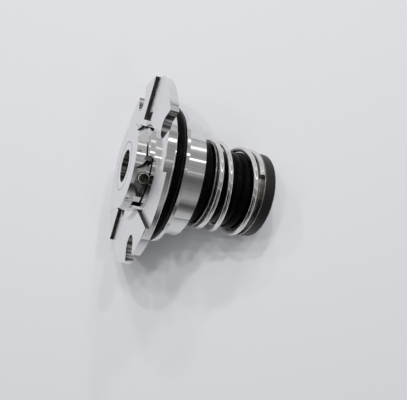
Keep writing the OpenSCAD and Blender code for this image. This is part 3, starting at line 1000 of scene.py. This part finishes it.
@dataclass
class Collar:
    """The lock collar and its set screws."""

    radius: float = 31.5
    length: float = 16.8
    bore_r: float = 18.02
    rim: float = 0.45
    screw_turns: tuple[float, ...] = (11.8, 101.8, 191.8, 281.8)
    screw_station: float = 8.4
    screw_r: float = 4.0
    screw_length: float = 10.0
    screw_edge: float = 0.6
    recess: float = 0.9
    hole_gap: float = 0.03
    hole_reach: tuple[float, float] = (10.0, 40.0)
    sink_r: float = 4.9
    sink_near: float = 0.2
    socket_af: float = 4.0
    socket_depth: float = 4.0
    socket_edge: float = 0.16
    ring_depth: float = 0.7
    ring_width: float = 0.8
    ring_tilt: tuple[float, float] = (0.15, 0.95)

    def build(self, finishes: Finishes) -> None:
        """Builds the collar and its screws.

        Args:
            finishes: The seal's finishes.
        """
        piece = Bench.turned("collar_body", [
            (self.bore_r, 0.0), (self.radius, 0.0), (self.radius, self.length),
            (self.bore_r, self.length),
        ])
        self.break_rim(piece)
        for turn in self.screw_turns:
            self.drill(piece, turn)
        self.mark_sinks(piece, finishes)
        Bench.finish(
            piece, Body.ROTOR, Slot.TURNED, finishes.turned, "lock_collar", lathe=True
        )
        for number, turn in enumerate(self.screw_turns, start=1):
            self.screw(number, turn, finishes)

    def spot(self, turn: float, reach: float) -> Vector:
        """The point on a screw's axis at a distance from the shaft's axis."""
        a = math.radians(turn)
        return Vector((reach * math.cos(a), reach * math.sin(a), self.screw_station))

    def break_rim(self, piece: bpy.types.Object) -> None:
        """Rounds the collar's outer edges.

        Args:
            piece: The collar.
        """
        Bench.only(piece)
        bpy.ops.object.mode_set(mode="EDIT")
        bpy.ops.mesh.select_all(action="DESELECT")
        mesh = bmesh.from_edit_mesh(piece.data)
        for edge in mesh.edges:
            first, last = (vert.co for vert in edge.verts)
            level = abs(first.z - last.z) < Bench.SAME_PLACE
            outer = min(first.xy.length, last.xy.length) > self.radius - Bench.SAME_PLACE
            edge.select_set(level and outer)
        bmesh.update_edit_mesh(piece.data)
        bpy.ops.mesh.bevel(offset=self.rim, segments=3)
        bpy.ops.object.mode_set(mode="OBJECT")

    def drill(self, piece: bpy.types.Object, turn: float) -> None:
        """Drills and countersinks one screw hole.

        Args:
            piece: The collar.
            turn: Angle of the hole round the shaft, in degrees.
        """
        start, end = (self.spot(turn, reach) for reach in self.hole_reach)
        Bench.join(piece, Bench.rod("hole", self.screw_r + self.hole_gap, start, end), Join.CUT)
        depth = self.sink_r - self.screw_r
        floor, above = self.spot(turn, self.radius - depth), self.spot(turn, self.radius + depth)
        sink = Bench.rod("sink", self.screw_r, floor, above, end_radius=self.sink_r + depth)
        Bench.join(piece, sink, Join.CUT)

    def mark_sinks(self, piece: bpy.types.Object, finishes: Finishes) -> None:
        """Gives the countersinks and holes painted shade.

        Args:
            piece: The collar.
            finishes: The seal's finishes.
        """
        piece.data.materials.append(finishes.turned)
        piece.data.materials.append(finishes.sink_shade)
        for face in piece.data.polygons:
            at = face.center
            facing = abs(face.normal.dot(Vector((at.x, at.y, 0.0)).normalized()))
            if facing > 0.99 or at.xy.length < self.bore_r + 1.0:
                continue
            for turn in self.screw_turns:
                out, beside = seen_from(at, turn)
                from_axis = math.hypot(beside, at.z - self.screw_station)
                # Faces in and round each countersink get the painted shade.
                if out > 0.0 and from_axis < self.sink_r + self.sink_near:
                    face.material_index = 1

    def screw(self, number: int, turn: float, finishes: Finishes) -> None:
        """Builds one set screw with its socket and a painted highlight ring round its end.

        Args:
            number: Which screw it is.
            turn: Its angle round the shaft, in degrees.
            finishes: The seal's finishes.
        """
        top = self.radius - self.recess
        low, high = self.spot(turn, top - self.screw_length), self.spot(turn, top)
        piece = Bench.rod(f"screw_{number}", self.screw_r, low, high)
        Bench.break_edges(piece, width=self.screw_edge, angle=60.0, segments=1)
        floor, above = (self.spot(turn, top + way * self.socket_depth) for way in (-1, 1))
        half = self.socket_af / math.cos(math.radians(30)) / 2
        Bench.join(piece, Bench.rod("socket", half, floor, above, sides=6), Join.CUT)
        Bench.break_edges(piece, width=self.socket_edge, angle=50.0, segments=1)
        piece.data.materials.append(finishes.screw)
        piece.data.materials.append(finishes.rim_highlight)
        # A ring round the screw's end gets the painted rim highlight.
        middle = self.spot(turn, 0.0)
        way = (high - low).normalized()
        least, most = self.ring_tilt
        for face in piece.data.polygons:
            reach = face.center - middle
            height = reach.dot(way)
            from_axis = (reach - way * height).length
            tilted = least < abs(face.normal.dot(way)) < most
            outside = from_axis > self.screw_r - self.ring_width
            if tilted and outside and height > top - self.ring_depth:
                face.material_index = 1
        Bench.finish(piece, Body.ROTOR, Slot.SCREW, finishes.screw, f"set_screw_{number}")


@dataclass
class Sleeve:
    """The shaft sleeve, whose end shows in the collar."""

    bore_r: float = 12.0
    front_r: float = 18.0
    rear_r: float = 24.0
    step: float = 55.26
    clip: tuple[float, float] = (107.9, 109.5)
    clip_r: float = 22.7
    end: float = 111.5
    groove: tuple[float, float] = (99.15, 102.95)
    groove_r: float = 15.1
    edge: float = 0.45

    def build(self, finishes: Finishes) -> None:
        """Builds the sleeve.

        Args:
            finishes: The seal's finishes.
        """
        clip_front, clip_back = self.clip
        groove_front, groove_back = self.groove
        piece = Bench.turned("sleeve_body", [
            (self.bore_r, 0.0), (self.front_r, 0.0), (self.front_r, self.step),
            (self.rear_r, self.step), (self.rear_r, clip_front), (self.clip_r, clip_front),
            (self.clip_r, clip_back), (self.rear_r, clip_back), (self.rear_r, self.end),
            (self.bore_r, self.end), (self.bore_r, groove_back), (self.groove_r, groove_back),
            (self.groove_r, groove_front), (self.bore_r, groove_front),
        ])
        Bench.break_edges(piece, width=self.edge, angle=46.0)
        for material in (finishes.turned, finishes.painted_bore_stripes, finishes.gap_shade, finishes.rim_highlight):
            piece.data.materials.append(material)
        for face in piece.data.polygons:
            radius = face.center.xy.length
            at_end = face.center.z < self.edge
            # The bore's wall: painted reflection and shade stripes.
            if radius < self.bore_r + 0.1 and face.center.z > self.edge:
                face.material_index = 1
            # The outer edge of the front end: painted shade, a dark line at the gap to the
            # collar.
            elif at_end and radius > self.front_r - self.edge:
                face.material_index = 2
            # The edge of the bore at the front end: painted rim highlight.
            elif at_end and radius < self.bore_r + self.edge:
                face.material_index = 3
        Bench.finish(piece, Body.ROTOR, Slot.TURNED, finishes.turned, "sleeve", lathe=True)


@dataclass
class Head:
    """The rotating head: bellows, bands and spring, and the tail ring behind them."""

    spring_front: float = 58.6
    spring_back: float = 97.6
    coil_r: float = 32.9
    wire_r: float = 2.1
    wire_gap: float = 0.05
    wire_steps: int = 900
    wire_edge: float = 0.25
    seated: float = 4.0
    course: tuple[tuple[float, float], ...] = (
        (-75.0, 0.0), (0.0, 0.012), (75.0, 0.045), (285.0, 0.135), (435.0, 0.262),
        (560.0, 0.46), (690.0, 0.697), (787.0, 0.843), (900.0, 0.925), (1040.0, 0.985),
        (1144.0, 1.0),
    )
    rim_r: float = 33.6
    band_r: float = 30.5
    sheet: float = 1.0
    sheet_edge: float = 0.22
    bend: float = 0.6
    collar_length: float = 6.4
    cup_inner_r: float = 28.75
    cup_r: float = 30.45
    cup_front: float = 42.4
    cup_floor: float = 48.9
    bead: float = 55.7
    bead_size: tuple[float, float] = (1.1, 1.2)
    neck_r: float = 29.2
    neck_back: float = 65.0
    tube_r: float = 27.5
    tube_inner_r: float = 24.3
    low_fold: float = 79.75
    low_fold_size: tuple[float, float] = (1.5, 3.05)
    high_fold: float = 87.05
    high_fold_size: tuple[float, float] = (2.65, 3.45)
    tail_r: float = 33.1
    tail_bore_r: float = 24.1
    tail_edge: float = 0.3
    tail_round: float = 2.0
    tail: tuple[float, float] = (98.65, 107.85)

    def slope(self, index: int) -> float:
        """How fast the wire climbs at one of the course's points.

        Args:
            index: Which point it is.

        Returns:
            The share of the spring's length for each degree of turn.
        """
        if index in (0, len(self.course) - 1):
            return 0.0
        before, after = self.course[index - 1], self.course[index + 1]
        return (after[1] - before[1]) / (after[0] - before[0])

    def station_of(self, turn: float) -> float:
        """Where the wire's middle is at a turn about the shaft.

        Args:
            turn: The turn, in degrees.

        Returns:
            The station, in millimetres.
        """
        first = self.spring_front + self.wire_r + self.wire_gap
        last = self.spring_back - self.wire_r - self.wire_gap
        index = 0
        while index < len(self.course) - 2 and turn > self.course[index + 1][0]:
            index += 1
        here, there = self.course[index], self.course[index + 1]
        span = there[0] - here[0]
        u = min(max((turn - here[0]) / span, 0.0), 1.0)
        share = here[1] + (there[1] - here[1]) * u * u * (3.0 - 2.0 * u)
        share += self.slope(index) * span * u * (1.0 - u) ** 2
        share -= self.slope(index + 1) * span * u * u * (1.0 - u)
        return first + (last - first) * share

    def build(self, finishes: Finishes) -> None:
        """Builds all the pieces of the head.

        Args:
            finishes: The seal's finishes.
        """
        self.build_bellows(finishes)
        self.build_spring(finishes)
        front, back = self.spring_front - self.sheet, self.spring_back + self.sheet
        self.build_band("front_band", front, 1.0, Body.HEAD, finishes)
        self.build_band("rear_band", back, -1.0, Body.ROTOR, finishes)
        self.build_tail(finishes)

    def build_bellows(self, finishes: Finishes) -> None:
        """Builds the bellows.

        Args:
            finishes: The seal's finishes.
        """
        back = self.spring_back - 0.1
        tube, cup = self.tube_r, self.cup_r
        piece = Bench.turned("bellows_skin", [
            (self.cup_inner_r, self.cup_front), (30.0, self.cup_front),
            (cup, self.cup_front + 0.4), (cup, 54.3),
            *arc((cup, self.bead), self.bead_size, -80.0, 80.0, 10),
            (30.3, 56.9), (self.neck_r, 57.2), (self.neck_r, self.neck_back),
            (self.neck_r - 1.0, self.neck_back + 1.0), (tube + 0.2, 66.6), (tube, 68.0),
            (tube, 69.6), (tube + 0.5, 70.4), (tube + 0.5, 71.4), (tube, 72.2), (tube, 76.2),
            *arc((tube + 0.1, self.low_fold), self.low_fold_size, -85.0, 85.0, 12),
            (tube, 83.2),
            *arc((tube + 0.1, self.high_fold), self.high_fold_size, -85.0, 85.0, 16),
            (tube, 90.9), (tube, back), (self.tube_inner_r, back),
            (self.tube_inner_r, self.cup_floor), (self.cup_inner_r, self.cup_floor),
        ])
        Bench.break_edges(piece, width=0.2, angle=40.0)
        Bench.finish(
            piece, Body.HEAD, Slot.RUBBER, finishes.rubber, "bellows", smooth=45.0
        )
        self.let_shorten(piece, self.neck_back + 1.5, back - 1.0)

    def build_spring(self, finishes: Finishes) -> None:
        """Builds the spring as round wire swept along its own course, with plain cut ends.

        Args:
            finishes: The seal's finishes.
        """
        Bench.clear()
        bpy.ops.curve.primitive_nurbs_path_add(location=(0, 0, 0))
        piece = bpy.context.active_object
        piece.name = "spring_wire"
        curve = piece.data
        curve.splines.clear()
        spline = curve.splines.new("POLY")
        spline.points.add(self.wire_steps)
        first, last = self.course[0][0], self.course[-1][0]
        for i, point in enumerate(spline.points):
            turn = first + (last - first) * i / self.wire_steps
            a = math.radians(turn)
            x, y = self.coil_r * math.cos(a), self.coil_r * math.sin(a)
            point.co = (x, y, self.station_of(turn), 1.0)
        curve.dimensions = "3D"
        curve.twist_mode = "Z_UP"
        curve.bevel_depth = self.wire_r
        curve.bevel_resolution = 12
        curve.use_fill_caps = True
        Bench.only(piece)
        bpy.ops.object.convert(target="MESH")
        piece = bpy.context.active_object
        bpy.ops.object.mode_set(mode="EDIT")
        Bench.close(merge=0.001)
        Bench.break_edges(piece, width=self.wire_edge, angle=60.0)
        piece.data.materials.clear()
        piece.data.materials.append(finishes.spring)
        piece.data.materials.append(finishes.shaded_cut_end)
        # The two cut ends get painted shade.
        for face in sorted(piece.data.polygons, key=lambda face: -len(face.vertices))[:2]:
            face.material_index = 1
        Bench.finish(piece, Body.HEAD, Slot.SPRING, finishes.spring, "spring", smooth=40.0)
        self.let_shorten(piece, self.spring_front + self.seated, self.spring_back - self.seated)

    @staticmethod
    def let_shorten(piece: bpy.types.Object, start: float, end: float) -> None:
        """Takes a piece off its body and moves its place into its mesh.

        Args:
            piece: The piece.
            start: Not used.
            end: Not used.
        """
        piece.parent = None
        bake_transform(piece)

    def build_band(
        self, node: str, rim: float, way: float, body: Body, finishes: Finishes
    ) -> None:
        """Builds one sheet-metal band: a rim for the spring, and a collar inside the spring.

        Args:
            node: The frame's node that it stands for.
            rim: Station of the rim's outer side.
            way: 1 if its collar points to the tail, -1 if it points to the gland.
            body: The body it rides on.
            finishes: The seal's finishes.
        """
        inner = self.band_r - self.sheet
        seat = rim + way * self.sheet
        end = rim + way * (self.sheet + self.collar_length)
        piece = Bench.turned(f"{node}_body", [
            (inner + self.bend, rim), (self.rim_r, rim), (self.rim_r, seat),
            (self.band_r, seat), (self.band_r, end), (inner, end), (inner, rim + way * self.bend),
        ])
        Bench.break_edges(piece, width=self.sheet_edge, angle=25.0)
        Bench.finish(piece, body, Slot.SHEET, finishes.sheet, node)

    def build_tail(self, finishes: Finishes) -> None:
        """Builds the tail ring with its rounded edge.

        Args:
            finishes: The seal's finishes.
        """
        front, back = self.tail
        size = self.tail_round
        piece = Bench.turned("tail_body", [
            (self.tail_bore_r, front), (self.tail_r - self.tail_edge, front),
            (self.tail_r, front + self.tail_edge),
            *arc((self.tail_r - size, back - size), (size, size), 0.0, 90.0, 10),
            (self.tail_bore_r, back),
        ])
        Bench.finish(piece, Body.ROTOR, Slot.TAIL, finishes.tail, "tail_ring", smooth=30.0)


@dataclass
class InnerPieces:
    """The frame's own nodes that keep their shape and get a finish."""

    looks: dict[str, str] = field(default_factory=lambda: {
        "gland_oring": "rubber", "seat_oring": "rubber", "sleeve_oring": "rubber",
        "seat_ring": "ceramic", "seat_pin": "spring", "face_ring": "carbon",
        "retaining_ring": "spring",
    })

    def dress(self, finishes: Finishes) -> None:
        """Gives every node of the frame a finish.

        Args:
            finishes: The seal's finishes.
        """
        for name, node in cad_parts.items():
            material = getattr(finishes, self.looks.get(name, "turned"))
            node.data.materials.clear()
            node.data.materials.append(material)
            LOG.info("%s: finish %s", name, material.name)


# Studio


@dataclass(frozen=True)
class Lamp:
    """A square lamp above the table that points at the seal."""

    name: str
    x: float
    y: float
    size: float
    power: float
    height: float = 1.5

    def build(self) -> None:
        """Builds the lamp, which only lights and isn't seen in reflections."""
        place = Vector((self.x, self.y, self.height))
        Bench.clear()
        bpy.ops.object.light_add(type="AREA", location=place)
        lamp = bpy.context.active_object
        lamp.name = self.name
        lamp.data.shape = "SQUARE"
        lamp.data.size = self.size
        lamp.data.energy = self.power
        lamp.visible_glossy = False
        lamp.rotation_euler = (-place).to_track_quat("-Z", "Y").to_euler()


@dataclass
class Studio:
    """Floor, lamps, surroundings and camera.

    The panels are what polished steel shows of the room: each is a row of places from the
    lower side of the picture, at 0, to its upper side, at 1, with their brightness.
    """

    floor_colour: Colour = (0.790, 0.798, 0.822)
    floor_size: float = 6.0
    floor_roughness: float = 0.9
    floor_shine: float = 0.1
    backdrop: Colour = (0.69, 0.70, 0.73)
    plain_light: Colour = (0.97, 0.98, 1.0)
    ambient: float = 0.19
    horizon: Colour = (0.56, 0.57, 0.58)
    horizon_height: float = 0.15
    overhead_tint: Colour = (1.0, 0.985, 0.97)
    beyond_tint: Colour = (1.0, 0.99, 0.985)
    beyond_start: tuple[float, float] = (0.22, 0.45)
    beyond_end: tuple[float, float] = (0.67, 0.75)
    azimuth: float = 12.2
    elevation: float = 21.33
    focal_px: float = 510.92
    sensor_mm: float = 36.0
    image_px: tuple[float, float] = (407.0, 400.0)
    collar_px: tuple[float, float] = (124.302, 165.749)
    px_mm: float = 0.723
    overhead: tuple[tuple[float, float], ...] = (
        (0.000, 0.42), (0.025, 0.39), (0.045, 0.30), (0.070, 0.12), (0.105, 0.05),
        (0.150, 0.025), (0.350, 0.025), (0.395, 0.07), (0.440, 0.15), (0.455, 0.25),
        (0.459, 0.95), (0.470, 0.95), (0.475, 0.26), (0.570, 0.27), (0.605, 0.36),
        (0.616, 0.90), (0.630, 0.90), (0.642, 0.42), (0.720, 0.52), (0.775, 0.45),
        (0.796, 0.60), (0.801, 2.60), (0.814, 2.60), (0.822, 0.60), (0.885, 0.55),
        (0.930, 0.60), (0.937, 1.40), (0.945, 1.40), (0.953, 0.60), (1.000, 0.58),
    )
    beyond: tuple[tuple[float, float], ...] = (
        (0.000, 0.53), (0.035, 0.51), (0.055, 0.45), (0.080, 0.19), (0.115, 0.085),
        (0.140, 0.11), (0.170, 0.24), (0.220, 0.36), (0.280, 0.31), (0.345, 0.22),
        (0.415, 0.17), (0.485, 0.12), (0.550, 0.16), (0.575, 0.29), (0.608, 0.34),
        (0.617, 0.64), (0.627, 0.64), (0.636, 0.34), (0.750, 0.33), (0.790, 0.42),
        (0.797, 2.60), (0.809, 2.60), (0.817, 0.42), (0.850, 0.33), (0.885, 0.38),
        (0.910, 0.50), (0.926, 1.50), (0.934, 1.50), (0.943, 0.52), (0.965, 0.50),
        (1.000, 0.62),
    )
    lamps: tuple[Lamp, ...] = (
        Lamp("overhead lamp", x=-0.03, y=0.10, size=0.30, power=2.50),
        Lamp("overhead lamp back", x=0.0, y=0.38, size=0.05, power=1.10),
        Lamp("overhead lamp left", x=-0.38, y=0.18, size=0.05, power=1.85),
        Lamp("main lamp", x=-0.21, y=0.76, size=0.05, power=3.70),
        Lamp("main lamp left", x=-0.33, y=0.51, size=0.05, power=1.95),
        Lamp("main lamp right", x=0.09, y=0.60, size=0.05, power=1.75),
        Lamp("main lamp back", x=-0.15, y=1.08, size=0.07, power=1.10),
        Lamp("side lamp left", x=-0.78, y=-0.03, size=0.08, power=0.85),
        Lamp("side lamp back", x=-0.87, y=0.60, size=0.08, power=1.85),
        Lamp("side lamp right", x=0.42, y=0.90, size=0.07, power=2.60),
        Lamp("side lamp front", x=0.90, y=-0.50, size=0.16, power=1.10),
        Lamp("far lamp left", x=-0.45, y=1.50, size=0.10, power=2.50),
        Lamp("far lamp right", x=0.30, y=2.10, size=0.12, power=4.50),
    )

    def build(self, height: float) -> None:
        """Builds the studio.

        Args:
            height: Height of the floor's surface, in metres.
        """
        self.build_floor(height)
        self.build_world()
        for lamp in self.lamps:
            lamp.build()
        self.build_camera()
        bpy.context.scene.view_settings.view_transform = "Standard"

    def build_floor(self, height: float) -> None:
        """Builds the plain floor.

        Args:
            height: Height of its surface, in metres.
        """
        Bench.clear()
        bpy.ops.mesh.primitive_plane_add(size=self.floor_size, location=(0, 0, height))
        floor = bpy.context.active_object
        floor.name = "floor"
        material, _, shader = start_material("floor paper")
        shader.inputs["Base Color"].default_value = (*self.floor_colour, 1.0)
        shader.inputs["Roughness"].default_value = self.floor_roughness
        shader.inputs["Specular IOR Level"].default_value = self.floor_shine
        floor.data.materials.append(material)
        floor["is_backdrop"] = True

    def room(self, desk: NodeDesk) -> bpy.types.NodeSocket:
        """Draws the room that polished steel shows.

        Args:
            desk: The helper on the world's tree.

        Returns:
            The room's colour.
        """
        way = desk.add("ShaderNodeTexCoord").outputs["Generated"]
        x, y, z = desk.add("ShaderNodeSeparateXYZ", Vector=way).outputs
        side = desk.plus(desk.times(y, 0.5), 0.5)
        rows = []
        for panel, tint in (
            (self.overhead, self.overhead_tint), (self.beyond, self.beyond_tint)
        ):
            stops = [(place, tuple(level * part for part in tint)) for place, level in panel]
            rows.append(desk.ramp(side, stops))
        start = desk.band(x, self.beyond_start, "SMOOTHSTEP")
        end = desk.band(x, self.beyond_end, "SMOOTHSTEP")
        room = desk.mix(desk.math("SUBTRACT", start, end), *rows)
        return desk.mix(desk.band(z, (0.0, self.horizon_height)), self.horizon, room)

    def build_world(self) -> None:
        """Builds the surroundings: plain light, the room in reflections, and a backdrop."""
        world = bpy.data.worlds.new("room")
        bpy.context.scene.world = world
        world.use_nodes = True
        world.node_tree.nodes.clear()
        desk = NodeDesk(world.node_tree)
        rays = desk.add("ShaderNodeLightPath").outputs
        mirrored = desk.math("MAXIMUM", rays["Is Glossy Ray"], rays["Is Transmission Ray"])
        shown = desk.add(
            "ShaderNodeBackground", None, Color=(*self.plain_light, 1.0), Strength=self.ambient
        )
        for share, colour in (
            (mirrored, self.room(desk)), (rays["Is Camera Ray"], (*self.backdrop, 1.0))
        ):
            light = desk.add("ShaderNodeBackground", None, Color=colour, Strength=1.0)
            both = desk.add("ShaderNodeMixShader")
            desk.feed(both.inputs[0], share)
            desk.feed(both.inputs[1], shown.outputs[0])
            desk.feed(both.inputs[2], light.outputs[0])
            shown = both
        desk.add("ShaderNodeOutputWorld", None, Surface=shown.outputs[0])

    def build_camera(self) -> None:
        """Builds the camera at the photograph's view of the seal."""
        az, el = math.radians(self.azimuth), math.radians(self.elevation)
        level = Vector((math.cos(az), math.sin(az), 0.0)) * math.cos(el)
        along = level + Vector((0.0, 0.0, math.sin(el)))
        across = Vector((math.sin(az), -math.cos(az), 0.0))
        seen = Matrix((along, across, along.cross(across))).transposed()
        real = Matrix((LIE.along(), LIE.across(), LIE.upward())).transposed()
        turn = real @ seen.transposed()
        width, height = self.image_px
        from_middle = Vector((
            self.collar_px[0] - width / 2, self.collar_px[1] - height / 2, self.focal_px,
        ))
        place = LIE.on_axis(0.0) - turn @ from_middle * self.px_mm * MM
        Bench.clear()
        bpy.ops.object.camera_add(location=place)
        camera = bpy.context.active_object
        camera.name = "camera"
        camera.rotation_euler = (turn @ Matrix.Diagonal((1.0, -1.0, -1.0))).to_euler()
        camera.data.sensor_width = self.sensor_mm
        camera.data.lens = self.sensor_mm * self.focal_px / width
        camera.data.clip_start = 0.01
        camera.data.dof.use_dof = False
        bpy.context.scene.camera = camera


def main() -> None:
    """Builds the studio and every piece in order."""
    logging.basicConfig(level=logging.INFO, format="%(name)s: %(message)s")
    box = [list(corner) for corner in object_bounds()]
    finishes = Finishes()
    Studio().build(box[0][2])
    InnerPieces().dress(finishes)
    Gland().build(finishes)
    Collar().build(finishes)
    Sleeve().build(finishes)
    Head().build(finishes)


if __name__ == "__main__":
    main()
